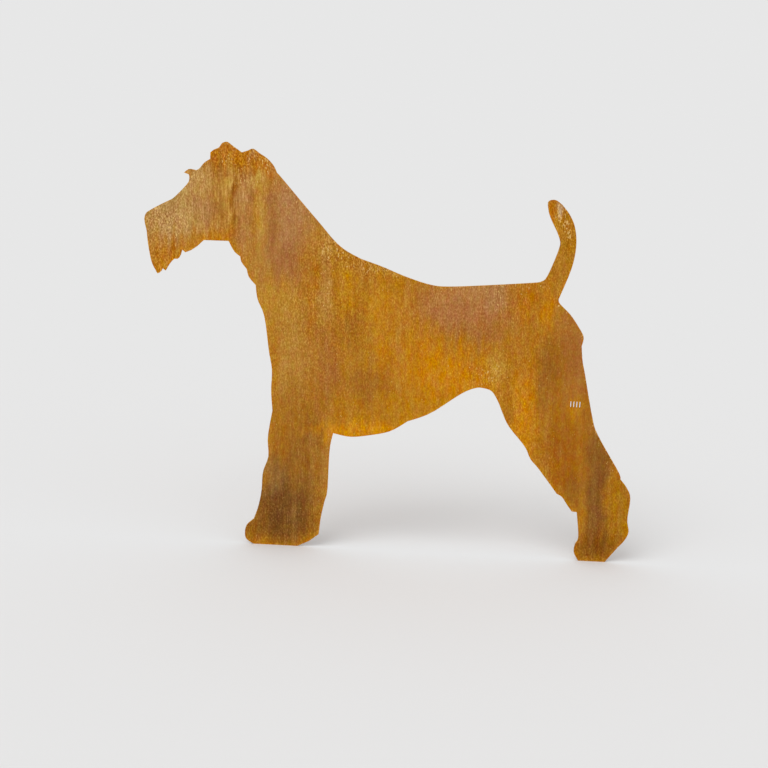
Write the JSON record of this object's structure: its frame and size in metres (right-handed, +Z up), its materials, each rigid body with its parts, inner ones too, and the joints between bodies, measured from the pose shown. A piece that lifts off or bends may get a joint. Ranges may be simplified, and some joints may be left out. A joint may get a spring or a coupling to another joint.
{
  "type": "weathering steel dog silhouette garden figure",
  "caption": "Flat silhouette of a wire-haired terrier cut from rusted weathering steel sheet, its feet cut off level to be set in the ground.",
  "frame": {"origin": "middle of the fore foot's flat underside, at ground level and mid thickness", "axes": "+Z up, +X from the fore foot towards the hind foot and tail, Y through the sheet's thickness; the head faces -X"},
  "size_m": [0.9865, 0.004, 0.8001],
  "materials": {
    "weathering_steel": "weathering steel sheet with a dense orange-brown rust patina, matt, rain streaked"
  },
  "bodies": {
    "root": {"terrier_sheet": "weathering_steel"}
  },
  "joints": []
}
